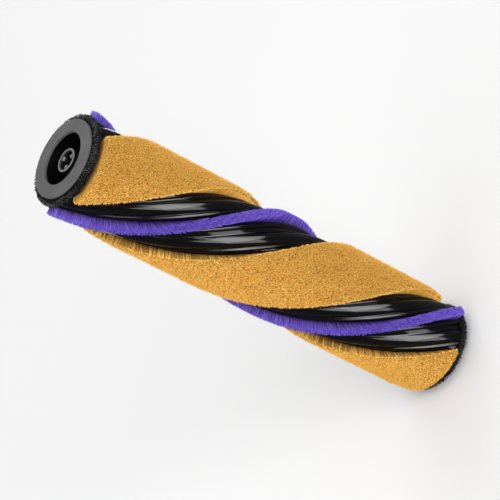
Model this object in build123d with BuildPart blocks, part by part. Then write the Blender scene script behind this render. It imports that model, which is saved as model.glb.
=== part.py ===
"""Vacuum roller brush: a twisted core with two plush strips and two bristle strips, closed by end caps.

Millimetres. The roller's axis is +Z, the idle end stands on z = 0 and the drive end is up.
Azimuths are measured from +X in the plane z = 0, and the strips turn left-handed as they climb.
"""
import os
from math import cos, degrees, radians, sin

from build123d import *

# Overall sizes
roller_length = 233.0
tip_radius = 25.0
helix_lead = 244.2
strips_per_kind = 2

# Ends: each end is a face ring on a flange, with the fringe ring round the flange
face_ring_lap = 0.4
face_ring_thickness = 1.4
face_ring_edge = 0.3
cup_wall = 1.4
flange_step = 1.0
flange_thickness = 3.6
fringe_height = 3.6
fringe_width = 3.4
fringe_edge = 0.6

# Core section
core_radius = 19.5
core_wall = 5.5
seat_depth = 1.2
rib_round = 4.6
rib_height = 1.7
upper_rib_angle = 23.5
lower_rib_angle = -33.0
lip_round = 1.5
lip_height = 1.6
lip_angle = 11.0
seat_lip_round = 1.1
seat_lip_height = 1.0
seat_lip_offset = 8.4
cut_margin = 1.0

# Plush strips
plush_centre_azimuth = 67.8
plush_tip_angle = 84.5
plush_root_angle = 80.5
plush_corner_round = 1.2
plush_end_inset = 2.0

# Bristle strips, the carriers they are planted in and the slots that hold the carriers
bristle_centre_azimuth = 161.9
bristle_tip_width = 5.3
bristle_root_width = 2.5
slot_mouth_width = 4.8
carrier_width = 6.2
carrier_thickness = 1.5
carrier_depth = 4.2

# Drive end: a cup with a floor, and a hub with three lugs on it
drive_recess_depth = 15.0
cup_floor_thickness = 2.0
hub_radius = 5.7
hub_face_depth = 2.2
hub_base_radius = 8.0
hub_base_thickness = 1.5
hub_bore_radius = 4.6
hub_bore_depth = 9.5
hub_stem_radius = 3.0
hub_edge = 0.3
lug_count = 3
lug_width = 1.9
lug_inner_radius = 2.2
lug_face_depth = 0.6
first_lug_azimuth = 90.0

# Idle end: a deep-groove ball bearing, its retaining ring and the bush in its bore
bearing_bore_radius = 4.0
ring_wall = 2.2
race_gap = 2.6
bearing_width = 7.0
bearing_depth = 5.5
bearing_edge = 0.3
ball_bite = 0.685
ball_count = 7
cage_gap = 0.55
cage_web = 0.55
cage_finger = 0.6
shield_gap = 0.3
shield_lap = 0.7
shield_thickness = 0.35
shield_depth = 0.2
pocket_shoulder = 1.4
pocket_tail = 2.0
idle_recess_depth = 3.0
idle_floor_thickness = 1.6
circlip_thickness = 1.0
circlip_bite = 0.6
circlip_band = 1.5
circlip_gap_angle = 42.0
circlip_ear_radius = 1.1
circlip_ear_hole = 0.45
bush_bore_radius = 2.5
bush_flange_radius = 5.8
bush_flange_thickness = 1.6
bush_nose_radius = 4.6
bush_nose_length = 1.4
bush_tail = 0.8

# Clearances
strip_clearance = 0.16
end_clearance = 0.1
fit_clearance = 0.05
ball_clearance = 0.08

# Heights that follow from the sizes above
flange_face = face_ring_thickness
strip_start = flange_face + flange_thickness
strip_end = roller_length - strip_start
core_start = strip_start + end_clearance
core_end = strip_end - end_clearance
plush_start = strip_start + plush_end_inset
plush_end = strip_end - plush_end_inset
drive_flange_face = roller_length - flange_face
cup_floor = roller_length - drive_recess_depth
hub_face = roller_length - hub_face_depth
bearing_top = bearing_depth + bearing_width
bearing_middle = bearing_depth + bearing_width / 2
pocket_end = bearing_top + pocket_tail

# Radii that follow from the sizes above
core_bore_radius = core_radius - core_wall
seat_radius = core_radius - seat_depth
rib_crest_radius = core_radius + rib_height
lip_crest_radius = core_radius + lip_height
seat_lip_crest_radius = core_radius + seat_lip_height
flange_radius = core_radius - flange_step
face_ring_outer_radius = flange_radius + face_ring_lap
fringe_radius = flange_radius + fringe_height
recess_radius = core_bore_radius - cup_wall
plush_root_radius = seat_radius + strip_clearance
spigot_radius = core_bore_radius - fit_clearance
inner_shoulder_radius = bearing_bore_radius + ring_wall
outer_shoulder_radius = inner_shoulder_radius + race_gap
bearing_outer_radius = outer_shoulder_radius + ring_wall
ball_radius = race_gap / 2 + ball_bite
ball_pitch_radius = (inner_shoulder_radius + outer_shoulder_radius) / 2
cage_wall = race_gap - 2 * cage_gap
shield_inner_radius = inner_shoulder_radius + shield_gap
shield_outer_radius = outer_shoulder_radius + shield_lap
pocket_radius = bearing_outer_radius + fit_clearance
pocket_shoulder_radius = bearing_outer_radius - pocket_shoulder
carrier_floor_radius = core_radius - carrier_depth
carrier_top_radius = carrier_floor_radius + carrier_thickness
bristle_root_radius = carrier_top_radius + strip_clearance
slot_roof_radius = carrier_top_radius + strip_clearance
slot_floor_radius = carrier_floor_radius - strip_clearance

os.makedirs("parts", exist_ok=True)


def strip_plane(height, azimuth=0.0):
    """Plane across the roller at a height, turned with the strips, with its X axis at an azimuth."""
    turned = azimuth - 360 * height / helix_lead
    return Plane.XY.offset(height).rotated((0, 0, turned))


def twist(section, start, end):
    """Carry a section up the axis while it turns with the strips."""
    axis = Line((0, 0, start), (0, 0, end), mode=Mode.PRIVATE)
    guide = Helix(helix_lead, end - start, tip_radius, center=(0, 0, start), lefthand=True, mode=Mode.PRIVATE)
    sweep(sections=section.sketch, path=axis, binormal=guide)


def polar(radius, azimuth):
    """Point of a section at a radius and an azimuth."""
    return (radius * cos(radians(azimuth)), radius * sin(radians(azimuth)))


def save(piece, name):
    """Label a finished piece and write it to its own file."""
    piece.part.label = name
    export_step(piece.part, f"parts/{name}.step")


def sides():
    """Letter and azimuth of each strip of a kind."""
    return [(chr(ord("a") + index), 360 * index / strips_per_kind) for index in range(strips_per_kind)]


# Core: a tube with a rounded rib in each gap, and lips beside the bristle slots and the plush seats
plush_fan = (plush_tip_angle - plush_root_angle) / (tip_radius - plush_root_radius)
plush_lip_angle = plush_root_angle + plush_fan * (core_radius - plush_root_radius)
seat_angle = plush_lip_angle + 2 * degrees(strip_clearance / seat_radius)
plush_from_bristle = plush_centre_azimuth - bristle_centre_azimuth
seat_lip_angle = plush_lip_angle / 2 + seat_lip_offset
cut_reach = max(rib_crest_radius, lip_crest_radius, seat_lip_crest_radius) + cut_margin
slot_width = carrier_width + 2 * strip_clearance
with BuildPart() as roller_core:
    with BuildSketch(strip_plane(core_start, bristle_centre_azimuth)) as core_section:
        Circle(core_radius)
        for _, turn in sides():
            for rib_angle in (upper_rib_angle, lower_rib_angle):
                with Locations(polar(rib_crest_radius - rib_round, turn + rib_angle)):
                    Circle(rib_round)
            for lip_side in (-lip_angle, lip_angle):
                with Locations(polar(lip_crest_radius - lip_round, turn + lip_side)):
                    Circle(lip_round)
            for seat_side in (-seat_lip_angle, seat_lip_angle):
                seat_lip_azimuth = turn + plush_from_bristle + seat_side
                with Locations(polar(seat_lip_crest_radius - seat_lip_round, seat_lip_azimuth)):
                    Circle(seat_lip_round)
        for _, turn in sides():
            with Locations(Location(polar((slot_floor_radius + cut_reach) / 2, turn), turn)):
                Rectangle(cut_reach - slot_floor_radius, slot_mouth_width, mode=Mode.SUBTRACT)
            with Locations(Location(polar((slot_floor_radius + slot_roof_radius) / 2, turn), turn)):
                Rectangle(slot_roof_radius - slot_floor_radius, slot_width, mode=Mode.SUBTRACT)
            seat_from = turn + plush_from_bristle - seat_angle / 2
            with BuildLine():
                seat_floor = CenterArc((0, 0), seat_radius, seat_from, seat_angle)
                seat_mouth = CenterArc((0, 0), cut_reach, seat_from, seat_angle)
                Line(seat_floor @ 0, seat_mouth @ 0)
                Line(seat_floor @ 1, seat_mouth @ 1)
            make_face(mode=Mode.SUBTRACT)
        Circle(core_bore_radius, mode=Mode.SUBTRACT)
    twist(core_section, core_start, core_end)
save(roller_core, "roller_core")

# Plush strips: a pile on each seat, a little wider at the tips than at the root
for letter, turn in sides():
    with BuildPart() as plush_strip:
        with BuildSketch(strip_plane(plush_start, plush_centre_azimuth + turn)) as plush_section:
            with BuildLine():
                pile_root = CenterArc((0, 0), plush_root_radius, -plush_root_angle / 2, plush_root_angle)
                pile_tips = CenterArc((0, 0), tip_radius, -plush_tip_angle / 2, plush_tip_angle)
                Line(pile_root @ 0, pile_tips @ 0)
                Line(pile_root @ 1, pile_tips @ 1)
            make_face()
            fillet(plush_section.vertices().sort_by_distance((0, 0))[-2:], plush_corner_round)
        twist(plush_section, plush_start, plush_end)
    save(plush_strip, f"plush_strip_{letter}")

# Bristle carriers: flat strips that lie in the wide floor of the slots
for letter, turn in sides():
    with BuildPart() as bristle_carrier:
        carrier_plane = strip_plane(core_start, bristle_centre_azimuth + turn)
        with BuildSketch(carrier_plane) as carrier_section:
            with Locations((carrier_floor_radius + carrier_thickness / 2, 0)):
                Rectangle(carrier_thickness, carrier_width)
        twist(carrier_section, core_start, core_end)
    save(bristle_carrier, f"bristle_carrier_{letter}")

# Bristle strips: tufts that stand on the carriers and fan out above the core
bristle_tip_edge = (tip_radius**2 - (bristle_tip_width / 2) ** 2) ** 0.5
for letter, turn in sides():
    with BuildPart() as bristle_strip:
        bristle_plane = strip_plane(core_start, bristle_centre_azimuth + turn)
        with BuildSketch(bristle_plane) as bristle_section:
            with BuildLine():
                stem = Polyline(
                    (bristle_tip_edge, -bristle_tip_width / 2),
                    (core_radius, -bristle_root_width / 2),
                    (bristle_root_radius, -bristle_root_width / 2),
                    (bristle_root_radius, bristle_root_width / 2),
                    (core_radius, bristle_root_width / 2),
                    (bristle_tip_edge, bristle_tip_width / 2),
                )
                ThreePointArc(stem @ 0, (tip_radius, 0), stem @ 1)
            make_face()
        twist(bristle_section, core_start, core_end)
    save(bristle_strip, f"bristle_strip_{letter}")

# Face rings and fringe rings: one of each at both ends, the face ring proud of the fringe
for end, ring_base, fringe_base, outward in (
    ("idle", 0.0, flange_face, 0),
    ("drive", drive_flange_face, drive_flange_face - fringe_width, -1),
):
    with BuildPart() as face_ring:
        with BuildSketch(Plane.XY.offset(ring_base)):
            Circle(face_ring_outer_radius)
            Circle(recess_radius, mode=Mode.SUBTRACT)
        extrude(amount=face_ring_thickness)
        fillet(face_ring.faces().filter_by(Axis.Z).sort_by(Axis.Z)[outward].edges(), face_ring_edge)
    save(face_ring, f"{end}_face_ring")

    with BuildPart() as fringe_ring:
        with BuildSketch(Plane.XY.offset(fringe_base)):
            Circle(fringe_radius)
            Circle(flange_radius + fit_clearance, mode=Mode.SUBTRACT)
        extrude(amount=fringe_width)
        rims = fringe_ring.edges().filter_by(GeomType.CIRCLE).sort_by(SortBy.RADIUS)[-2:]
        fillet(rims, fringe_edge)
    save(fringe_ring, f"{end}_fringe_ring")

# Drive end cap: a cup pushed into the core's bore, with a flange behind the face ring
with BuildPart() as drive_end_cap:
    with BuildSketch(Plane.XZ):
        with BuildLine():
            Polyline(
                (hub_stem_radius + fit_clearance, cup_floor - cup_floor_thickness),
                (spigot_radius, cup_floor - cup_floor_thickness),
                (spigot_radius, strip_end),
                (flange_radius, strip_end),
                (flange_radius, drive_flange_face),
                (recess_radius, drive_flange_face),
                (recess_radius, cup_floor),
                (hub_stem_radius + fit_clearance, cup_floor),
                close=True,
            )
        make_face()
    revolve(axis=Axis.Z)
save(drive_end_cap, "drive_end_cap")

# Drive socket: a hub on the cup's floor, its stem through the floor, with lugs inside its bore
hub_bore_floor = hub_face - hub_bore_depth
lug_root_radius = (hub_bore_radius + hub_radius) / 2
with BuildPart() as drive_socket:
    with BuildSketch(Plane.XZ):
        with BuildLine():
            Polyline(
                (0, cup_floor - cup_floor_thickness),
                (hub_stem_radius, cup_floor - cup_floor_thickness),
                (hub_stem_radius, cup_floor),
                (hub_base_radius, cup_floor),
                (hub_base_radius, cup_floor + hub_base_thickness),
                (hub_radius, cup_floor + hub_base_thickness),
                (hub_radius, hub_face),
                (hub_bore_radius, hub_face),
                (hub_bore_radius, hub_bore_floor),
                (0, hub_bore_floor),
                close=True,
            )
        make_face()
    revolve(axis=Axis.Z)
    hub_rim = drive_socket.edges().filter_by(GeomType.CIRCLE).group_by(Axis.Z)[-1].sort_by(SortBy.RADIUS)[-1]
    fillet(hub_rim, hub_edge)
    with BuildSketch(Plane.XY.offset(hub_bore_floor)):
        with PolarLocations((lug_inner_radius + lug_root_radius) / 2, lug_count, first_lug_azimuth):
            Rectangle(lug_root_radius - lug_inner_radius, lug_width)
    extrude(amount=hub_bore_depth - lug_face_depth)
save(drive_socket, "drive_socket")

# Idle end cap: the same spigot and flange, bored for the bearing and grooved for its retaining ring
circlip_outer_radius = pocket_radius + circlip_bite
circlip_base = bearing_depth - circlip_thickness
with BuildPart() as idle_end_cap:
    with BuildSketch(Plane.XZ):
        with BuildLine():
            Polyline(
                (0, pocket_end),
                (pocket_shoulder_radius, pocket_end),
                (pocket_shoulder_radius, bearing_top),
                (pocket_radius, bearing_top),
                (pocket_radius, bearing_depth + end_clearance),
                (circlip_outer_radius + fit_clearance, bearing_depth + end_clearance),
                (circlip_outer_radius + fit_clearance, circlip_base - end_clearance),
                (pocket_radius, circlip_base - end_clearance),
                (pocket_radius, idle_recess_depth),
                (recess_radius, idle_recess_depth),
                (recess_radius, flange_face),
                (flange_radius, flange_face),
                (flange_radius, strip_start),
                (spigot_radius, strip_start),
                (spigot_radius, pocket_end + idle_floor_thickness),
                (0, pocket_end + idle_floor_thickness),
                close=True,
            )
        make_face()
    revolve(axis=Axis.Z)
save(idle_end_cap, "idle_end_cap")

# Bearing rings: turned rings with a ball groove, the outer one stepped at both ends for the shields
groove_radius = ball_radius + ball_clearance
shield_step = shield_depth + shield_thickness
for ring, inner_radius, outer_radius in (
    ("inner", bearing_bore_radius, inner_shoulder_radius),
    ("outer", outer_shoulder_radius, bearing_outer_radius),
):
    with BuildPart() as bearing_ring:
        with BuildSketch(Plane.XY.offset(bearing_depth)):
            Circle(outer_radius)
            Circle(inner_radius, mode=Mode.SUBTRACT)
        extrude(amount=bearing_width)
        rims = bearing_ring.edges().filter_by(GeomType.CIRCLE).sort_by(SortBy.RADIUS)
        chamfer(rims[:2] if ring == "inner" else rims[-2:], bearing_edge)
        if ring == "outer":
            for step_base in (bearing_depth, bearing_top - shield_step):
                with BuildSketch(Plane.XY.offset(step_base)):
                    Circle(shield_outer_radius + fit_clearance)
                extrude(amount=shield_step, mode=Mode.SUBTRACT)
        with Locations((0, 0, bearing_middle)):
            Torus(ball_pitch_radius, groove_radius, mode=Mode.SUBTRACT)
    save(bearing_ring, f"bearing_{ring}_ring")

# Balls and cage: a crown that holds the balls apart, open on the side that faces out
with BuildPart() as bearing_balls:
    with Locations((0, 0, bearing_middle)):
        with PolarLocations(ball_pitch_radius, ball_count):
            Sphere(ball_radius)
save(bearing_balls, "bearing_balls")

with BuildPart() as bearing_cage:
    with BuildSketch(Plane.XY.offset(bearing_middle - cage_finger)):
        Circle(ball_pitch_radius + cage_wall / 2)
        Circle(ball_pitch_radius - cage_wall / 2, mode=Mode.SUBTRACT)
    extrude(amount=cage_finger + groove_radius + cage_web)
    with Locations((0, 0, bearing_middle)):
        with PolarLocations(ball_pitch_radius, ball_count):
            Sphere(groove_radius, mode=Mode.SUBTRACT)
save(bearing_cage, "bearing_cage")

# Shields: thin washers that lie on the steps of the outer ring
for place, shield_base in (
    ("outer", bearing_depth + shield_depth),
    ("inner", bearing_top - shield_step),
):
    with BuildPart() as bearing_shield:
        with BuildSketch(Plane.XY.offset(shield_base)):
            Circle(shield_outer_radius)
            Circle(shield_inner_radius, mode=Mode.SUBTRACT)
        extrude(amount=shield_thickness)
    save(bearing_shield, f"bearing_shield_{place}")

# Retaining ring: an open ring with an eared hole at each end, in the groove outside the bearing
circlip_inner_radius = circlip_outer_radius - circlip_band
ear_centre_radius = circlip_outer_radius - circlip_bite - fit_clearance - circlip_ear_radius
with BuildPart() as bearing_circlip:
    with BuildSketch(Plane.XY.offset(circlip_base)):
        with BuildLine():
            ring_span = 360 - circlip_gap_angle
            inside = CenterArc((0, 0), circlip_inner_radius, circlip_gap_angle / 2, ring_span)
            outside = CenterArc((0, 0), circlip_outer_radius, circlip_gap_angle / 2, ring_span)
            Line(inside @ 0, outside @ 0)
            Line(inside @ 1, outside @ 1)
        make_face()
        for ear_azimuth in (-circlip_gap_angle / 2, circlip_gap_angle / 2):
            with Locations(polar(ear_centre_radius, ear_azimuth)):
                Circle(circlip_ear_radius)
        for ear_azimuth in (-circlip_gap_angle / 2, circlip_gap_angle / 2):
            with Locations(polar(ear_centre_radius, ear_azimuth)):
                Circle(circlip_ear_hole, mode=Mode.SUBTRACT)
    extrude(amount=circlip_thickness)
save(bearing_circlip, "bearing_circlip")

# Axle bush: a flanged sleeve in the bearing's bore that slides over the fixed pin
bush_flange_base = bearing_depth - bush_flange_thickness
bush_radius = bearing_bore_radius - fit_clearance
with BuildPart() as axle_bush:
    with BuildSketch(Plane.XZ):
        with BuildLine():
            Polyline(
                (bush_bore_radius, bush_flange_base - bush_nose_length),
                (bush_nose_radius, bush_flange_base - bush_nose_length),
                (bush_nose_radius, bush_flange_base),
                (bush_flange_radius, bush_flange_base),
                (bush_flange_radius, bearing_depth),
                (bush_radius, bearing_depth),
                (bush_radius, bearing_top + bush_tail),
                (bush_bore_radius, bearing_top + bush_tail),
                close=True,
            )
        make_face()
    revolve(axis=Axis.Z)
save(axle_bush, "axle_bush")
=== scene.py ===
"""Looks of a vacuum roller brush: glossy core, plush and bristle strips, fringes, end faces and bearing.

Metres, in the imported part's frame: the axis is +Z, the idle end stands on z = 0 and the drive end is up.
"""
import math
import random

import bmesh
import bpy
from mathutils import Euler, Matrix, Vector


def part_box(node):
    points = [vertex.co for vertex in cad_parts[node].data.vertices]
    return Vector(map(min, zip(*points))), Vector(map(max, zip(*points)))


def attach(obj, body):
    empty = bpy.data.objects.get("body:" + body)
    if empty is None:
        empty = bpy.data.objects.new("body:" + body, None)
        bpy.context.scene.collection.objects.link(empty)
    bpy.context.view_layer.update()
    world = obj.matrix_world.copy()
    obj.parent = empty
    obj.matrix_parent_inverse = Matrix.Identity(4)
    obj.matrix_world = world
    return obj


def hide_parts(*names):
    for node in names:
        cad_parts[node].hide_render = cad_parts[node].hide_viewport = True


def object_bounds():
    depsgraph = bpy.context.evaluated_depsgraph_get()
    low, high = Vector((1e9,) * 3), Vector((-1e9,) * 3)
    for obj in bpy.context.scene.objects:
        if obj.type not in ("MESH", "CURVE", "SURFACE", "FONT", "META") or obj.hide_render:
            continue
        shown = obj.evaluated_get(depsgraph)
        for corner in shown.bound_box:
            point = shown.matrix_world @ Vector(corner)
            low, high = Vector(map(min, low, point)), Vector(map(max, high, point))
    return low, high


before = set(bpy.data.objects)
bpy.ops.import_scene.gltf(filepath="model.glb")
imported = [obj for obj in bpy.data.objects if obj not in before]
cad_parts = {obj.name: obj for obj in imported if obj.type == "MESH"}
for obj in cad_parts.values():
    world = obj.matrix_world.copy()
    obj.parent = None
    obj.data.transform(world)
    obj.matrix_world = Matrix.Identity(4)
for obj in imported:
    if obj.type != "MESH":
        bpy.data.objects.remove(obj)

bl_info = {
    "name": "Vacuum Roller Brush",
    "version": (1, 0, 0),
    "blender": (4, 5, 0),
    "location": "3D View > Sidebar > Roller",
    "description": "Dresses the packed roller brush with its pile, bristles, fringes and finishes",
    "category": "Object",
}

MM = 0.001
CAD_BOX = [list(corner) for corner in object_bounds()]
HALF_TURN = math.pi
CORE_SEGMENTS = 720
CORE_STEPS = 120
BRISTLE_STEPS = 140
FRINGE_STEPS = 120
FIBRE_SIDES = 3
# Fibres are made in batches, because one large bmesh slows down as it grows
FIBRE_BATCH = 200
# Rows over which the pile bends round at each end of a plush strip
END_ROWS = 4
# Share of the places on the plush that stay open, as pits between the tufts, dark through the painted shade
# on the body below
PIT_SHARE = 0.13
LOOSE_FIBRES = 5200
WALL_FIBRES = 480
END_FIBRES = 300
BRISTLE_ROOT = 17.0 * MM
FRINGE_ROOT = 18.6 * MM


def linear(hex_colour):
    """Linear RGBA of an sRGB hex value."""
    channels = [int(hex_colour[at:at + 2], 16) / 255 for at in (1, 3, 5)]
    return tuple(c / 12.92 if c <= 0.04045 else ((c + 0.055) / 1.055) ** 2.4 for c in channels) + (1.0,)


def length(name, description, millimetres):
    """A length property with its default given in millimetres."""
    return bpy.props.FloatProperty(
        name=name, description=description, default=millimetres * MM, min=0, unit="LENGTH", precision=5
    )


def angle(name, description, degrees):
    """An angle property with its default given in degrees."""
    return bpy.props.FloatProperty(
        name=name, description=description, default=math.radians(degrees), subtype="ANGLE", unit="ROTATION"
    )


def colour(name, description, hex_colour):
    """A colour property with its default given as an sRGB hex value."""
    return bpy.props.FloatVectorProperty(
        name=name, description=description, default=linear(hex_colour), size=4, min=0, max=1, subtype="COLOR"
    )


class RollerSizes(bpy.types.PropertyGroup):
    """Sizes of the roller's section, pile, bristles and fringes."""

    helix_lead: length("Helix lead", "Height in which a strip goes once round the axis", 244.2)
    core_radius: length("Core radius", "Radius of the core between its ribs", 19.5)
    core_bore: length("Core bore", "Radius of the bore through the core", 14.0)
    seat_radius: length("Seat radius", "Radius of the floor that a plush strip lies on", 18.3)
    seat_angle: angle("Seat angle", "Angle that a plush seat takes round the axis", 82.1)
    slot_angle: angle("Slot angle", "Angle that a bristle slot's mouth takes", 13.7)
    slot_floor: length("Slot floor", "Radius of the floor of a bristle slot", 15.14)
    plush_azimuth: angle("Plush azimuth", "Azimuth of the first strip's middle at the floor", 67.8)
    plush_tip_angle: angle("Plush tip angle", "Angle that the tips of the pile take", 84.5)
    plush_root_angle: angle("Plush root angle", "Angle that the roots of the pile take", 80.5)
    plush_end_round: length("Plush end round", "Round over which the pile falls away at each end", 0.9)
    plush_splay_drive: length("Plush splay, drive end", "Length of splayed pile beyond the backing", 1.8)
    plush_splay_idle: length("Plush splay, idle end", "Length of splayed pile beyond the backing", 0.2)
    tuft_pitch: length("Tuft pitch", "Distance between the tufts of the pile", 0.64)
    tuft_height: length("Tuft height", "Height of a tuft above the body of the pile", 0.9)
    bristle_azimuth: angle("Bristle azimuth", "Azimuth of the first strip's middle at the floor", 161.9)
    bristle_tip_width: length("Bristle tip width", "Width of a bristle strip at its tips", 5.3)
    bristle_root_width: length("Bristle root width", "Width of a bristle strip at its root", 2.5)
    bristle_pitch: length("Bristle pitch", "Distance between the bristles of a strip", 0.46)
    bristle_round: length("Bristle round", "Radius of one bristle", 0.16)
    fringe_pitch: length("Fringe pitch", "Distance between the fibres of a fringe ring", 0.58)
    fringe_round: length("Fringe round", "Radius of one fringe fibre", 0.2)


class RollerColours(bpy.types.PropertyGroup):
    """Colours of the roller's materials."""

    plush_light: colour("Plush light", "Lightest tufts of the plush", "#FFD976")
    plush_dark: colour("Plush dark", "Darkest tufts of the plush", "#EFA83C")
    # Painted shade: the plush root colour stands for the shade deep in the pile
    plush_root_shade: colour("Plush root", "Pile in the depth between tufts", "#5A3510")
    bristle_light: colour("Bristle light", "Lightest bristles", "#9A80EE")
    bristle_dark: colour("Bristle dark", "Darkest bristles", "#583FB4")
    # Painted shade: the bristle root colour stands for the shade at the foot of the bristles
    bristle_root_shade: colour("Bristle root", "Bristles at the carrier", "#1A1234")
    fringe_light: colour("Fringe light", "Lightest fringe fibres", "#6A6A6C")
    fringe_dark: colour("Fringe dark", "Darkest fringe fibres", "#161617")
    # Painted shade: the fringe root colour stands for the shade in the depth of the fringe
    fringe_root_shade: colour("Fringe root", "Fringe fibres at their roots", "#070708")
    core_black: colour("Core black", "Glossy plastic of the core", "#090808")
    cap_black: colour("Cap black", "Satin plastic of the end caps", "#070708")
    ring_grey: colour("Ring grey", "Matt plastic of the face rings", "#5E5E5E")
    socket_grey: colour("Socket grey", "Plastic of the drive socket", "#8A8A8A")
    steel: colour("Steel", "Bearing rings, balls and shields", "#B9BBBE")
    spring_steel: colour("Spring steel", "Retaining ring", "#3A3B3E")
    cage_nylon: colour("Cage nylon", "Undyed nylon of the ball cage", "#D8D4C8")
    bush_grey: colour("Bush grey", "Nylon of the axle bush", "#505053")
    floor: colour("Floor", "Paper that the roller stands on", "#E6E6E6")


def sizes():
    """The scene's sizes."""
    return bpy.context.scene.roller_sizes


def colours():
    """The scene's colours."""
    return bpy.context.scene.roller_colours


def strip_turn(height):
    """Angle by which the strips have turned at a height."""
    return -2 * math.pi * height / sizes().helix_lead


def on_strip(radius, across, height, azimuth):
    """Point at a radius and an angle across a strip, at a height."""
    turned = azimuth + across + strip_turn(height)
    return Vector((radius * math.cos(turned), radius * math.sin(turned), height))


def sweep_up(bm, bottom, top, steps):
    """Carry a flat section up the axis while it turns with the strips."""
    bmesh.ops.spin(
        bm,
        geom=bm.verts[:] + bm.edges[:] + bm.faces[:],
        cent=(0, 0, 0),
        axis=(0, 0, 1),
        dvec=(0, 0, (top - bottom) / steps),
        angle=strip_turn(top - bottom),
        steps=steps,
    )


def face_outwards(bm):
    """Turn the faces of a closed body outwards; its volume shows a long body that came out inside out."""
    bmesh.ops.recalc_face_normals(bm, faces=bm.faces[:])
    if bm.calc_volume(signed=True) < 0:
        bmesh.ops.reverse_faces(bm, faces=bm.faces[:])


def by_place(faces):
    """Faces in the order of where they lie, so that each run gives a face the same random draws."""
    return sorted(faces, key=lambda face: sorted(tuple(vert.co) for vert in face.verts))


def add_piece(bm, name, nodes, material, smooth_angle=None):
    """Make an object of a bmesh that rides on the roller and stands for its CAD nodes."""
    mesh = bpy.data.meshes.new(name)
    bm.to_mesh(mesh)
    bm.free()
    mesh.materials.append(material)
    if smooth_angle is not None:
        mesh.shade_smooth()
        mesh.set_sharp_from_angle(angle=smooth_angle)
    piece = bpy.data.objects.new(name, mesh)
    bpy.context.scene.collection.objects.link(piece)
    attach(piece, "roller")
    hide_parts(*nodes)
    return piece


def paint(node, material):
    """Give a kept CAD node a material on each of its slots."""
    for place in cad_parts[node].material_slots:
        place.material = material


def add_node(tree, kind, inputs=None, **settings):
    """Add a node with its settings; each input gets a value, or a link where it is given a socket."""
    made = tree.nodes.new(kind)
    for key, value in settings.items():
        setattr(made, key, value)
    for key, value in (inputs or {}).items():
        if isinstance(value, bpy.types.NodeSocket):
            tree.links.new(value, made.inputs[key])
        else:
            made.inputs[key].default_value = value
    return made


def new_finish(name):
    """A new material, with its node tree and its shader."""
    material = bpy.data.materials.new(name)
    material.use_nodes = True
    return material, material.node_tree, material.node_tree.nodes["Principled BSDF"]


def fibre_finish(name, root, dark, light, roughness, sheen, full=1.0):
    """Cut fibres: each has its own tone, and it darkens from a share of its length down to its root, as
    painted shade in the depth between the fibres.
    """
    material, tree, shader = new_finish(name)
    tone = add_node(tree, "ShaderNodeAttribute", attribute_name="tone").outputs["Fac"]
    reach = add_node(tree, "ShaderNodeAttribute", attribute_name="reach").outputs["Fac"]
    place = add_node(tree, "ShaderNodeTexCoord").outputs["Object"]
    # Uneven lie of the fibres: soft patches about 9 mm across
    patches = add_node(tree, "ShaderNodeTexNoise", {"Vector": place, "Scale": 1 / (9 * MM), "Detail": 2.0})
    lie = add_node(
        tree, "ShaderNodeMapRange", {0: patches.outputs["Fac"], 1: 0.3, 2: 0.7, 3: -0.05, 4: 0.05}
    ).outputs[0]
    shade = add_node(tree, "ShaderNodeMath", {0: tone, 1: lie}, operation="ADD", use_clamp=True).outputs[0]
    body = add_node(tree, "ShaderNodeMix", {0: shade, 6: dark, 7: light}, data_type="RGBA").outputs[2]
    # Painted shade: towards its root each fibre blends into the root colour
    lit = add_node(tree, "ShaderNodeMapRange", {0: reach, 1: 0.0, 2: full}, interpolation_type="SMOOTHSTEP")
    whole = add_node(tree, "ShaderNodeMix", {0: lit.outputs[0], 6: root, 7: body}, data_type="RGBA")
    tree.links.new(whole.outputs[2], shader.inputs["Base Color"])
    shader.inputs["Roughness"].default_value = roughness
    shader.inputs["Specular IOR Level"].default_value = 0.15
    shader.inputs["Sheen Weight"].default_value = sheen
    shader.inputs["Sheen Roughness"].default_value = 0.4
    shader.inputs["Sheen Tint"].default_value = light
    return material


def moulded_finish(name, tint, roughness, spread, grain, depth, specular=0.5):
    """Moulded plastic: a fine grain that breaks up the gloss, and soft patches a little paler or deeper."""
    material, tree, shader = new_finish(name)
    place = add_node(tree, "ShaderNodeTexCoord").outputs["Object"]
    skin = add_node(tree, "ShaderNodeTexNoise", {"Vector": place, "Scale": 1 / grain, "Detail": 4.0})
    rough = add_node(
        tree,
        "ShaderNodeMapRange",
        {0: skin.outputs["Fac"], 1: 0.3, 2: 0.7, 3: roughness - spread, 4: roughness + spread},
    )
    bump = add_node(
        tree, "ShaderNodeBump", {"Height": skin.outputs["Fac"], "Strength": 0.6, "Distance": depth}
    )
    pale_mask = add_node(tree, "ShaderNodeTexNoise", {"Vector": place, "Scale": 1 / (14 * MM), "Detail": 3.0})
    pale = tuple(channel * 1.14 for channel in tint[:3]) + (1.0,)
    deep = tuple(channel * 0.88 for channel in tint[:3]) + (1.0,)
    tone = add_node(tree, "ShaderNodeMapRange", {0: pale_mask.outputs["Fac"], 1: 0.3, 2: 0.7})
    skin_colour = add_node(tree, "ShaderNodeMix", {0: tone.outputs[0], 6: deep, 7: pale}, data_type="RGBA")
    tree.links.new(skin_colour.outputs[2], shader.inputs["Base Color"])
    tree.links.new(rough.outputs[0], shader.inputs["Roughness"])
    tree.links.new(bump.outputs["Normal"], shader.inputs["Normal"])
    shader.inputs["Specular IOR Level"].default_value = specular
    return material


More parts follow.
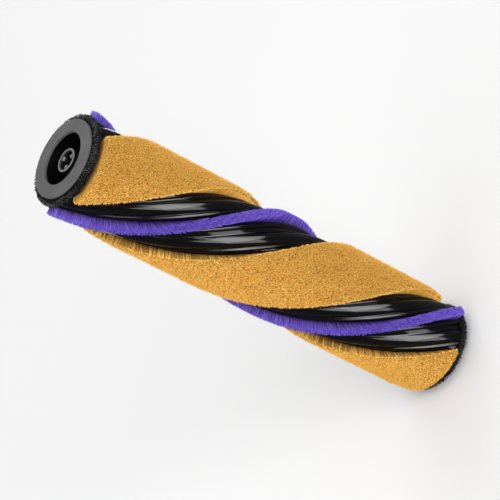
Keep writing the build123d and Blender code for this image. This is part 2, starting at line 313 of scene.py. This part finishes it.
def paint_socket_shade(material, lug_face, lug_reach, rim_inner, rim_outer):
    """Paint shade into a socket: it keeps its pale colour only on its mouth's rim and on the tops of its
    lugs, and darkens elsewhere as painted shade of the recess.
    """
    tree = material.node_tree
    base = tree.nodes["Principled BSDF"].inputs["Base Color"]
    pale = base.links[0].from_socket
    place = add_node(tree, "ShaderNodeTexCoord").outputs["Object"]
    flat = add_node(tree, "ShaderNodeVectorMath", {0: place, 1: (1, 1, 0)}, operation="MULTIPLY").outputs[0]
    radius = add_node(tree, "ShaderNodeVectorMath", {0: flat}, operation="LENGTH").outputs["Value"]
    height = add_node(tree, "ShaderNodeSeparateXYZ", {"Vector": place}).outputs["Z"]
    edge, depth = 0.1 * MM, 0.3 * MM
    above = add_node(tree, "ShaderNodeMapRange", {0: height, 1: lug_face - depth, 2: lug_face}).outputs[0]
    lugs = add_node(
        tree, "ShaderNodeMapRange", {0: radius, 1: lug_reach, 2: lug_reach - edge, 4: 0.6}
    ).outputs[0]
    inner = add_node(
        tree, "ShaderNodeMapRange", {0: radius, 1: rim_inner - edge, 2: rim_inner, 3: 0.3}
    ).outputs[0]
    outer = add_node(tree, "ShaderNodeMapRange", {0: radius, 1: rim_outer, 2: rim_outer - edge}).outputs[0]
    rim = add_node(tree, "ShaderNodeMath", {0: inner, 1: outer}, operation="MULTIPLY").outputs[0]
    either = add_node(tree, "ShaderNodeMath", {0: rim, 1: lugs}, operation="MAXIMUM").outputs[0]
    pale_mask = add_node(tree, "ShaderNodeMath", {0: either, 1: above}, operation="MULTIPLY").outputs[0]
    # Painted shade: below the rim and the lug tops the socket falls to this near-black, standing for the
    # shade in the recess
    dark = linear("#161617")
    whole = add_node(tree, "ShaderNodeMix", {0: pale_mask, 6: dark, 7: pale}, data_type="RGBA").outputs[2]
    tree.links.new(whole, base)


def turned_finish(name, tint, roughness):
    """Turned steel: fine rings about the axis, drawn 0.35 mm apart so that they show."""
    material, tree, shader = new_finish(name)
    place = add_node(tree, "ShaderNodeTexCoord").outputs["Object"]
    rings = add_node(
        tree,
        "ShaderNodeTexWave",
        {"Vector": place, "Scale": 1 / (0.35 * MM) / 20, "Distortion": 1.5, "Detail": 2.0},
        wave_type="RINGS",
        rings_direction="Z",
    )
    smudge = add_node(tree, "ShaderNodeTexNoise", {"Vector": place, "Scale": 1 / (3 * MM), "Detail": 3.0})
    rough = add_node(
        tree,
        "ShaderNodeMapRange",
        {0: smudge.outputs["Fac"], 1: 0.3, 2: 0.7, 3: roughness - 0.06, 4: roughness + 0.1},
    )
    bump = add_node(
        tree, "ShaderNodeBump", {"Height": rings.outputs["Fac"], "Strength": 0.3, "Distance": 0.01 * MM}
    )
    tree.links.new(rough.outputs[0], shader.inputs["Roughness"])
    tree.links.new(bump.outputs["Normal"], shader.inputs["Normal"])
    shader.inputs["Base Color"].default_value = tint
    shader.inputs["Metallic"].default_value = 1.0
    return material


def ridge(at, centre, crest, bend):
    """Radius at which a ray at an angle leaves a round ridge, or zero beside the ridge."""
    hub = crest - bend
    aside = hub * math.sin(at - centre)
    if math.cos(at - centre) <= 0 or abs(aside) >= bend:
        return 0.0
    return hub * math.cos(at - centre) + math.sqrt(bend**2 - aside**2)


def blend_up(low, high, fillet):
    """The larger of two radii, with a fillet where they are nearly the same."""
    overlap = max(fillet - abs(low - high), 0.0) / fillet
    return max(low, high) + overlap**2 * fillet / 4


# Ridges of the core: degrees from a bristle slot's middle, height over the core and round, in millimetres
RIDGES = (
    (23.5, 1.7, 4.6),
    (-33.0, 1.7, 4.6),
    (11.0, 1.6, 1.5),
    (-11.0, 1.6, 1.5),
    (36.9, 1.0, 1.1),
    (-45.1, 1.0, 1.1),
)


def core_profile(at):
    """Radius of the core at an angle from a bristle slot's middle."""
    size = sizes()
    base = size.core_radius
    around = (at + HALF_TURN / 2) % HALF_TURN - HALF_TURN / 2
    from_plush = (at - size.plush_azimuth + size.bristle_azimuth + HALF_TURN / 2) % HALF_TURN - HALF_TURN / 2
    if abs(around) < size.slot_angle / 2:
        return size.slot_floor
    if abs(from_plush) < size.seat_angle / 2:
        return size.seat_radius
    radius = base
    for centre, height, bend in RIDGES:
        side = ridge(around, math.radians(centre), base + height * MM, bend * MM)
        radius = blend_up(radius, side, 0.3 * MM)
    return radius


class ROLLER_OT_core(bpy.types.Operator):
    """Sweep the ribbed core up the axis"""

    bl_idname = "roller.core"
    bl_label = "Build core"

    def execute(self, context):
        size = sizes()
        low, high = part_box("roller_core")
        bottom, top = low.z, high.z
        bm = bmesh.new()
        bmesh.ops.create_circle(bm, segments=CORE_SEGMENTS, radius=size.core_radius)
        bmesh.ops.translate(bm, verts=bm.verts[:], vec=(0, 0, bottom))
        sweep_up(bm, bottom, top, CORE_STEPS)
        for vert in bm.verts:
            at = math.atan2(vert.co.y, vert.co.x) - size.bristle_azimuth - strip_turn(vert.co.z)
            vert.co.xy = vert.co.xy.normalized() * core_profile(at)
        for rim in (bottom, top):
            edges = [edge for edge in bm.edges if edge.is_boundary]
            loop = [edge for edge in edges if all(abs(v.co.z - rim) < 0.01 * MM for v in edge.verts)]
            inner = bmesh.ops.extrude_edge_only(bm, edges=loop)["geom"]
            for vert in (part for part in inner if isinstance(part, bmesh.types.BMVert)):
                vert.co.xy = vert.co.xy.normalized() * size.core_bore
        bmesh.ops.bridge_loops(bm, edges=[e for e in bm.edges if e.is_boundary])
        face_outwards(bm)
        # Injection moulded ABS with a polished skin: deep black with clear bright reflections
        gloss = moulded_finish(
            "polished_black_abs", colours().core_black, 0.1, 0.02, 1.2 * MM, 0.0003 * MM, specular=0.2
        )
        add_piece(bm, "core_shell", ["roller_core"], gloss, math.radians(40))
        return {"FINISHED"}


def seam_layers(bm):
    """The layers that hold each fibre's own tone and how far along the fibre a vertex lies."""
    return bm.verts.layers.float.new("tone"), bm.verts.layers.float.new("reach")


def plant(bm, places):
    """Plant a tapered fibre at each place: root, tip, their two radii, tone and the reach of its root."""
    for start in range(0, len(places), FIBRE_BATCH):
        batch = bmesh.new()
        tone, reach = seam_layers(batch)
        for root, tip, thick, thin, shade, low in places[start:start + FIBRE_BATCH]:
            along = tip - root
            turn = along.to_track_quat("Z", "X").to_matrix().to_4x4()
            made = bmesh.ops.create_cone(
                batch,
                cap_ends=True,
                segments=FIBRE_SIDES,
                radius1=thick,
                radius2=thin,
                depth=along.length,
                matrix=Matrix.Translation((root + tip) / 2) @ turn,
            )
            for vert in made["verts"]:
                vert[tone] = shade
                vert[reach] = low if (vert.co - root).length < (vert.co - tip).length else 1.0
        mesh = bpy.data.meshes.new("batch")
        batch.to_mesh(mesh)
        batch.free()
        bm.from_mesh(mesh)
        bpy.data.meshes.remove(mesh)


def strip_body(outline, layers_of, azimuth, bottom, top, steps):
    """A closed body swept up a strip from an outline of radii and angles across it."""
    bm = bmesh.new()
    tone, reach = seam_layers(bm)
    side = bm.verts.layers.float.new("side")
    bmesh.ops.create_circle(bm, cap_ends=True, segments=len(outline), radius=1)
    for vert, (radius, across), (depth, flank) in zip(bm.verts, outline, layers_of):
        vert.co = on_strip(radius, across, bottom, azimuth)
        vert[tone] = 0.5
        vert[reach] = depth
        vert[side] = flank
    sweep_up(bm, bottom, top, steps)
    return bm, tone, reach, side


class ROLLER_OT_plush(bpy.types.Operator):
    """Lay the two plush strips with their tufts"""

    bl_idname = "roller.plush"
    bl_label = "Lay plush"

    def execute(self, context):
        size = sizes()
        # Dyed nylon velvet: short upright cut pile, matt, each tuft a little lighter or darker
        tint = colours()
        velvet = fibre_finish(
            "gold_nylon_velvet", tint.plush_root_shade, tint.plush_dark, tint.plush_light, 0.85, 0.3
        )
        for index, letter in enumerate("ab"):
            self.lay(letter, size.plush_azimuth + index * HALF_TURN, random.Random(41 + index), velvet)
        return {"FINISHED"}

    def lay(self, letter, azimuth, rng, velvet):
        """One plush strip: a swept body, tufts on top, fibres down its walls and loose fibres over it."""
        size = sizes()
        node = f"plush_strip_{letter}"
        low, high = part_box(node)
        bottom, top = low.z - size.plush_splay_idle, high.z + size.plush_splay_drive
        tip_radius = CAD_BOX[1][0]
        body_radius = tip_radius - size.tuft_height
        root_radius = size.seat_radius + 0.1 * MM
        half_tip, half_root = size.plush_tip_angle / 2, size.plush_root_angle / 2
        rows = round((top - bottom) / size.tuft_pitch)
        tips = round(size.plush_tip_angle * tip_radius / size.tuft_pitch)
        outline, layers_of = self.outline(tips, body_radius, root_radius)
        bm, tone, reach, side = strip_body(outline, layers_of, azimuth, bottom, top, rows)
        # The pile falls away round both ends
        bend = size.plush_end_round
        heights, falls = [], []
        for row in range(rows + 1):
            from_end = min(row, rows - row)
            turn = min(from_end / END_ROWS, 1.0) * math.pi / 2
            inside = bend * (1 - math.cos(turn))
            even = bottom + bend + (top - bottom - 2 * bend) * (row - END_ROWS) / (rows - 2 * END_ROWS)
            end_height = bottom + inside if row < END_ROWS else top - inside
            heights.append(end_height if from_end < END_ROWS else even)
            falls.append(bend * (1 - math.sin(turn)) / (body_radius - root_radius))
        # Side walls: each row stands out or back by its own amount, from root to tip
        lanes = {flank: [rng.gauss(0, 1) for _ in range(rows + 1)] for flank in (-1, 1)}
        for vert in sorted(bm.verts, key=lambda each: tuple(each.co)):
            row = round((vert.co.z - bottom) / (top - bottom) * rows)
            across = math.atan2(vert.co.y, vert.co.x) - azimuth - strip_turn(vert.co.z)
            radius = root_radius + (vert.co.xy.length - root_radius) * (1 - falls[row])
            vert.co = on_strip(radius, across, heights[row], azimuth)
            if vert[side]:
                flank = round(vert[side])
                aside = Vector((-vert.co.y, vert.co.x, 0)).normalized() * flank
                vert.co += aside * (0.12 * MM * lanes[flank][row] + 0.05 * MM * rng.gauss(0, 1))
                vert[tone] = min(max(0.4 + 0.28 * lanes[flank][row], 0.0), 1.0)
            elif vert[reach] > 0:
                vert[tone] = rng.random()
                if 0 < row < rows:
                    vert.co += Vector([rng.uniform(-0.2, 0.2) * size.tuft_pitch for _ in range(3)])
        face_outwards(bm)
        quads = [face for face in bm.faces if len(face.verts) == 4]
        tip_faces = [face for face in quads if all(v[reach] > 0 and not v[side] for v in face.verts)]
        tufted = [face for face in by_place(tip_faces) if rng.random() > PIT_SHARE]
        tufts = by_place(bmesh.ops.extrude_discrete_faces(bm, faces=tufted)["faces"])
        for tuft in tufts:
            middle = tuft.calc_center_median()
            out = (Vector((middle.x, middle.y, 0)).normalized() + tuft.normal).normalized()
            lean = Vector([rng.gauss(0, 0.24) for _ in range(3)])
            # Tufts round the two ends are shorter
            inwards = min(max(min(middle.z - bottom, top - middle.z) / bend, 0.0), 1.0)
            rise = (out * rng.uniform(0.65, 1.15) + lean) * size.tuft_height * (0.7 + 0.3 * inwards)
            shade = rng.random()
            for vert in tuft.verts:
                vert.co += rise
                vert[tone] = shade
                vert[reach] = 1.0
        bmesh.ops.collapse(bm, edges=list({edge for tuft in tufts for edge in tuft.edges}))
        fibres = []
        for _ in range(LOOSE_FIBRES):
            height = rng.uniform(bottom + bend, top - bend)
            root = on_strip(body_radius - 0.3 * MM, rng.uniform(-half_tip, half_tip), height, azimuth)
            out = Vector((root.x, root.y, 0)).normalized()
            lean = Vector([rng.gauss(0, 0.34) for _ in range(3)])
            tip = root + (out + lean) * rng.uniform(0.9, 1.4) * size.tuft_height
            fibres.append((root, tip, 0.18 * MM, 0.0, rng.random(), 0.5))
        # Wall fibres repeat the painted shade: dark roots on one wall, paler roots on the other
        for flank, root_reach in ((-1, 0.6), (1, 0.15)):
            for _ in range(WALL_FIBRES):
                height = rng.uniform(bottom + 0.4 * bend, top - 0.4 * bend)
                root = on_strip(root_radius + 0.2 * MM, flank * half_root, height, azimuth)
                over = rng.uniform(-0.5, 0.35) * MM / tip_radius
                out = tip_radius - rng.uniform(0.6, 2.0) * MM
                tip = on_strip(out, flank * (half_tip + over), height + rng.gauss(0, 0.5) * MM, azimuth)
                fibres.append((root, tip, 0.2 * MM, 0.3 * MM, rng.random(), root_reach))
        # Painted shade: end fibres are dark along most of their length and lower in tone, for the shade on
        # the strip's end walls
        for end, away in ((bottom, -1), (top, 1)):
            for _ in range(END_FIBRES):
                across = rng.uniform(-half_root, half_root)
                root = on_strip(body_radius - 1.8 * MM, across, end, azimuth)
                lean = Vector((rng.gauss(0, 0.25), rng.gauss(0, 0.25), away * rng.uniform(0.1, 0.7))) * MM
                tip = on_strip(body_radius - rng.uniform(-0.5, 1.0) * MM, across, end, azimuth) + lean
                fibres.append((root, tip, 0.14 * MM, 0.0, 0.8 * rng.random(), 0.1))
        plant(bm, fibres)
        add_piece(bm, f"plush_pile_{letter}", [node], velvet)

    def outline(self, tips, body_radius, root_radius):
        """Radii and angles round the strip's section, with each point's reach and the wall it lies on."""
        size = sizes()
        half_tip, half_root = size.plush_tip_angle / 2, size.plush_root_angle / 2
        walls, roots, fall = 6, 24, 1.2 * MM
        corner = 1.9 * MM / body_radius
        shoulder = body_radius - fall
        outline, layers_of = [], []
        for step in range(tips + 1):
            across = half_tip * (2 * step / tips - 1)
            past = max(abs(across) - half_tip + corner, 0.0) / corner
            outline.append((body_radius - fall * (1 - math.sqrt(1 - past**2)), across))
            # Painted shade: the body's top between the tufts gets a low reach, so the pits take the dark
            # root colour
            layers_of.append((0.34, 0.0))
        for flank in (1, -1):
            steps = range(1, walls) if flank > 0 else range(walls - 1, 0, -1)
            for step in steps:
                down = step / walls
                radius = shoulder + (root_radius - shoulder) * down
                outline.append((radius, flank * (half_tip + (half_root - half_tip) * down)))
                # One wall is painted with dark roots and the other paler: painted shade and painted light on
                # the two sides of the strip
                layers_of.append((0.42 * (1 - down) if flank > 0 else 0.85 - 0.4 * down, flank))
            if flank > 0:
                for step in range(roots + 1):
                    outline.append((root_radius, half_root * (1 - 2 * step / roots)))
                    layers_of.append((0.0, 0.0))
        return outline, layers_of


class ROLLER_OT_bristles(bpy.types.Operator):
    """Plant the two bristle strips"""

    bl_idname = "roller.bristles"
    bl_label = "Plant bristles"

    def execute(self, context):
        size = sizes()
        # Extruded nylon filament: smooth round bristles, dyed through, with a soft shine along each
        tint = colours()
        filament = fibre_finish(
            "purple_nylon_filament", tint.bristle_root_shade, tint.bristle_dark, tint.bristle_light, 0.5, 0.0, 0.9
        )
        for index, letter in enumerate("ab"):
            azimuth = size.bristle_azimuth + index * HALF_TURN
            self.plant_strip(letter, azimuth, random.Random(71 + index), filament)
        return {"FINISHED"}

    def plant_strip(self, letter, azimuth, rng, filament):
        """One bristle strip: a body inside, darkened as painted shade in the depth of the bristles, with
        bristles that fan out from their root.
        """
        size = sizes()
        node = f"bristle_strip_{letter}"
        low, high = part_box(node)
        bottom, top = low.z, high.z
        tip_radius = CAD_BOX[1][0]
        root_radius = BRISTLE_ROOT
        half_root, half_tip = size.bristle_root_width / 2, size.bristle_tip_width / 2
        inside_radius = tip_radius - 1.3 * MM
        outline = [
            (inside_radius, -0.62 * half_tip / inside_radius),
            (inside_radius, 0.62 * half_tip / inside_radius),
            (root_radius, 0.6 * half_root / root_radius),
            (root_radius, -0.6 * half_root / root_radius),
        ]
        # Painted shade: the body's low reach darkens it towards the root colour
        layers_of = [(0.45, 0.0), (0.45, 0.0), (0.0, 0.0), (0.0, 0.0)]
        bm = strip_body(outline, layers_of, azimuth, bottom, top, BRISTLE_STEPS)[0]
        face_outwards(bm)
        rows = round((top - bottom) / size.bristle_pitch)
        lanes = round(size.bristle_tip_width / size.bristle_pitch)
        bristles = []
        for row in range(rows):
            for lane in range(lanes):
                share = ((lane + rng.uniform(0.1, 0.9)) / lanes) * 2 - 1
                height = bottom + (top - bottom) * (row + rng.uniform(0.1, 0.9)) / rows
                root = on_strip(root_radius, share * half_root / root_radius, height, azimuth)
                out = tip_radius + rng.uniform(-0.3, 0.12) * MM
                lean = rng.gauss(0, 0.15) * MM
                tip_height = height + rng.gauss(0, 0.2) * MM
                tip = on_strip(out, (share * half_tip + lean) / tip_radius, tip_height, azimuth)
                bristles.append((root, tip, size.bristle_round * 0.8, size.bristle_round, rng.random(), 0.0))
        plant(bm, bristles)
        add_piece(bm, f"bristle_row_{letter}", [node], filament)


class ROLLER_OT_fringes(bpy.types.Operator):
    """Set the fringe of dark fibres round each end"""

    bl_idname = "roller.fringes"
    bl_label = "Set fringes"

    def execute(self, context):
        # Fine nylon brush fibre: dark grey, with lighter fibres here and there at the rim
        tint = colours()
        brush = fibre_finish(
            "dark_nylon_brush", tint.fringe_root_shade, tint.fringe_dark, tint.fringe_light, 0.55, 0.0
        )
        for index, end in enumerate(("idle", "drive")):
            self.set_ring(end, random.Random(91 + index), brush)
        return {"FINISHED"}

    def set_ring(self, end, rng, brush):
        """One fringe ring: a turned band with radial fibres all round."""
        size = sizes()
        node = f"{end}_fringe_ring"
        low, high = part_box(node)
        rim, root_radius = high.x, FRINGE_ROOT
        body_radius = rim - 1.3 * MM
        bm = bmesh.new()
        # The band keeps tone and reach at zero, so it takes the root colour as painted shade
        seam_layers(bm)
        bmesh.ops.create_circle(bm, segments=4, radius=1)
        band = (
            (root_radius, low.z),
            (body_radius, low.z + 0.7 * MM),
            (body_radius, high.z - 0.7 * MM),
            (root_radius, high.z),
        )
        for vert, (radius, height) in zip(bm.verts, band):
            vert.co = (radius, 0, height)
        bmesh.ops.spin(
            bm,
            geom=bm.verts[:] + bm.edges[:],
            cent=(0, 0, 0),
            axis=(0, 0, 1),
            angle=2 * math.pi,
            steps=FRINGE_STEPS,
            use_merge=True,
        )
        face_outwards(bm)
        spokes = round(2 * math.pi * rim / size.fringe_pitch)
        layers = round((high.z - low.z) / size.fringe_pitch)
        fibres = []
        for spoke in range(spokes):
            for layer in range(layers):
                around = 2 * math.pi * (spoke + rng.random()) / spokes
                share = (layer + rng.uniform(0.1, 0.9)) / layers
                height = low.z + (high.z - low.z) * share
                # A rounded crown: fibres at the two faces are shorter
                out = rim - 1.1 * MM * abs(2 * share - 1) ** 3 + rng.uniform(-0.55, 0.2) * MM
                swing = around + rng.gauss(0, 0.014)
                lift = (share - 0.5) * 0.3 * MM + rng.gauss(0, 0.16) * MM
                root = Vector((root_radius * math.cos(around), root_radius * math.sin(around), height))
                tip = Vector((out * math.cos(swing), out * math.sin(swing), height + lift))
                # Painted light and shade: fibres grow lighter towards the ring's face at the roller's end,
                # where the lamps fall on the crown, and darker towards the inner side
                lit_face_share = share if end == "drive" else 1 - share
                shade = rng.random() ** 1.5 * (0.2 + 0.8 * lit_face_share**2)
                fibres.append((root, tip, size.fringe_round * 0.8, size.fringe_round, shade, 0.0))
        plant(bm, fibres)
        add_piece(bm, f"{end}_fringe", [node], brush)


class ROLLER_OT_ends(bpy.types.Operator):
    """Finish the end caps, face rings, drive socket and bristle carriers"""

    bl_idname = "roller.ends"
    bl_label = "Finish ends"

    def execute(self, context):
        tint = colours()
        # Polypropylene with a fine spark-eroded texture: an even matt grey
        matt = moulded_finish(
            "matt_grey_polypropylene", tint.ring_grey, 0.62, 0.06, 0.7 * MM, 0.012 * MM, 0.12
        )
        for node in ("drive_face_ring", "idle_face_ring"):
            paint(node, matt)
        # ABS with a satin skin: black with a dull shine
        satin = moulded_finish("satin_black_abs", tint.cap_black, 0.42, 0.06, 0.9 * MM, 0.01 * MM, 0.25)
        for node in ("drive_end_cap", "idle_end_cap"):
            paint(node, satin)
        # Glass-filled nylon: grey, slightly mottled by the fibres, drawn 1.1 mm coarse so that it shows
        filled = moulded_finish(
            "grey_filled_nylon", tint.socket_grey, 0.48, 0.08, 1.1 * MM, 0.012 * MM, 0.3
        )
        lug_setback, lug_reach, rim_inner, rim_outer = 0.6 * MM, 4.6 * MM, 5.15 * MM, 5.65 * MM
        lug_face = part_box("drive_socket")[1].z - lug_setback
        # Painted shade darkens the socket inside its recess, and only its rim and lug tops stay pale
        paint_socket_shade(filled, lug_face, lug_reach, rim_inner, rim_outer)
        paint("drive_socket", filled)
        # Extruded polypropylene strip: black and dull where the bristles are held
        strip = moulded_finish("black_extruded_strip", tint.cap_black, 0.55, 0.05, 1.6 * MM, 0.01 * MM, 0.3)
        for node in ("bristle_carrier_a", "bristle_carrier_b"):
            paint(node, strip)
        return {"FINISHED"}


class ROLLER_OT_bearing(bpy.types.Operator):
    """Finish the bearing, its retaining ring and the axle bush"""

    bl_idname = "roller.bearing"
    bl_label = "Finish bearing"

    def execute(self, context):
        tint = colours()
        # Ground bearing steel: bright, with faint turning rings
        ground = turned_finish("ground_bearing_steel", tint.steel, 0.22)
        for node in ("bearing_outer_ring", "bearing_inner_ring", "bearing_balls"):
            paint(node, ground)
        # Pressed sheet steel: a little duller than the rings
        pressed = turned_finish("pressed_sheet_steel", tint.steel, 0.34)
        for node in ("bearing_shield_outer", "bearing_shield_inner"):
            paint(node, pressed)
        # Phosphated spring steel: dark grey and dull
        paint("bearing_circlip", turned_finish("phosphated_spring_steel", tint.spring_steel, 0.5))
        # Natural nylon: off-white and slightly waxy
        waxy = moulded_finish("natural_nylon", tint.cage_nylon, 0.4, 0.05, 1.5 * MM, 0.01 * MM, 0.5)
        paint("bearing_cage", waxy)
        # Dyed nylon: dark grey, with the same waxy skin
        dyed = moulded_finish("dark_grey_nylon", tint.bush_grey, 0.42, 0.05, 1.5 * MM, 0.01 * MM, 0.4)
        paint("axle_bush", dyed)
        return {"FINISHED"}


def add_softbox(name, centre, target, width, height, radiance, mirrored_only=False):
    """A flat soft light that faces a point; one that is only mirrored shows in glossy surfaces alone."""
    lamp = bpy.data.lights.new(name, "AREA")
    lamp.shape = "RECTANGLE"
    lamp.size, lamp.size_y = width, height
    lamp.energy = radiance * math.pi * width * height
    holder = bpy.data.objects.new(name, lamp)
    facing = (Vector(target) - Vector(centre)).normalized()
    holder.matrix_world = Matrix.Translation(centre) @ facing.to_track_quat("-Z", "Y").to_matrix().to_4x4()
    holder.visible_diffuse = not mirrored_only
    bpy.context.scene.collection.objects.link(holder)
    return holder


class ROLLER_OT_stage(bpy.types.Operator):
    """Set the floor, the lights and the camera"""

    bl_idname = "roller.stage"
    bl_label = "Set stage"

    def execute(self, context):
        scene = context.scene
        scene.view_settings.view_transform = "Standard"
        bm = bmesh.new()
        bmesh.ops.create_grid(bm, x_segments=2, y_segments=2, size=4.0)
        bmesh.ops.translate(bm, verts=bm.verts[:], vec=(0, 0, -0.2 * MM))
        mesh = bpy.data.meshes.new("floor")
        bm.to_mesh(mesh)
        bm.free()
        floor = bpy.data.objects.new("floor", mesh)
        scene.collection.objects.link(floor)
        # Matt white backdrop paper: even and without shine
        paper, _, shader = new_finish("matt_backdrop_paper")
        shader.inputs["Base Color"].default_value = colours().floor
        shader.inputs["Roughness"].default_value = 1.0
        shader.inputs["Specular IOR Level"].default_value = 0.0
        mesh.materials.append(paper)
        # Mirror rays pass the paper, so that the core shows the low cards and stays deep black beside them
        floor.visible_glossy = False

        world = bpy.data.worlds.new("studio")
        world.use_nodes = True
        world.node_tree.nodes["Background"].inputs["Color"].default_value = (1, 1, 1, 1)
        world.node_tree.nodes["Background"].inputs["Strength"].default_value = 0.2
        scene.world = world
        middle = Vector((0, 0, 0.1))
        overhead = add_softbox("overhead_box", (0.0, 0.1, 2.4), (0, 0.1, 0), 3.0, 3.0, 1.6)
        fill = add_softbox("back_box", (1.5, 2.3, 1.1), middle, 2.0, 1.8, 2.8)
        left = add_softbox("left_box", (-2.1, -1.1, 0.45), middle, 1.9, 0.85, 5.6)
        for box in (overhead, fill, left):
            box.visible_glossy = False
        add_softbox("front_box", (0.7, -2.5, 1.4), middle, 2.2, 2.2, 4.5)
        # Low cards that the glossy core mirrors as bright bands, those behind clear of the camera's view:
        # azimuth, rise and roll in degrees, then width, height and radiance
        card_distance = 2.2
        cards = {
            "front_level_card": (41.2, -16.8, 4.0, 3.0, 0.95, 8.8),
            "front_tilted_card": (33.1, -22.8, 42.3, 2.6, 1.0, 6.8),
            "back_level_card": (198.0, -16.8, 4.0, 3.0, 0.95, 8.8),
            "back_tilted_card": (214.0, -22.8, 42.3, 2.6, 1.0, 6.8),
        }
        for name, (azimuth, rise, roll, width, height, radiance) in cards.items():
            towards = Vector((0, -card_distance, 0))
            towards.rotate(Euler((-math.radians(rise), 0, math.radians(azimuth))))
            card = add_softbox(name, middle + towards, middle, width, height, radiance, mirrored_only=True)
            card.matrix_world @= Matrix.Rotation(math.radians(roll), 4, "Z")

        eye, target = Vector((0, -991.6, 779.9)) * MM, Vector((1.41, 3.21, 121.4)) * MM
        roll = math.radians(-63.03)
        ahead = (target - eye).normalized()
        right = ahead.cross(Vector((0, 0, 1))).normalized()
        above = right.cross(ahead)
        image_right = math.cos(roll) * right + math.sin(roll) * above
        image_up = math.cos(roll) * above - math.sin(roll) * right
        camera = bpy.data.cameras.new("photo_camera")
        camera.sensor_width = 36.0
        camera.lens = 186.26
        holder = bpy.data.objects.new("photo_camera", camera)
        turn = Matrix((image_right, image_up, -ahead)).transposed().to_4x4()
        holder.matrix_world = Matrix.Translation(eye) @ turn
        scene.collection.objects.link(holder)
        scene.camera = holder
        return {"FINISHED"}


class ROLLER_PT_panel(bpy.types.Panel):
    """Steps that dress the roller brush"""

    bl_label = "Roller Brush"
    bl_idname = "ROLLER_PT_panel"
    bl_space_type = "VIEW_3D"
    bl_region_type = "UI"
    bl_category = "Roller"

    def draw(self, context):
        for step in STEPS:
            self.layout.operator(step.bl_idname)


STEPS = (
    ROLLER_OT_stage,
    ROLLER_OT_core,
    ROLLER_OT_plush,
    ROLLER_OT_bristles,
    ROLLER_OT_fringes,
    ROLLER_OT_ends,
    ROLLER_OT_bearing,
)
CLASSES = (RollerSizes, RollerColours, *STEPS, ROLLER_PT_panel)


def register():
    """Register the classes and hang the properties on the scene."""
    for each in CLASSES:
        bpy.utils.register_class(each)
    bpy.types.Scene.roller_sizes = bpy.props.PointerProperty(type=RollerSizes)
    bpy.types.Scene.roller_colours = bpy.props.PointerProperty(type=RollerColours)


def unregister():
    """Take the properties and classes away again."""
    del bpy.types.Scene.roller_colours
    del bpy.types.Scene.roller_sizes
    for each in reversed(CLASSES):
        bpy.utils.unregister_class(each)


def main():
    """Dress the roller step by step."""
    register()
    bpy.ops.roller.stage()
    bpy.ops.roller.core()
    bpy.ops.roller.plush()
    bpy.ops.roller.bristles()
    bpy.ops.roller.fringes()
    bpy.ops.roller.ends()
    bpy.ops.roller.bearing()


if __name__ == "__main__":
    main()
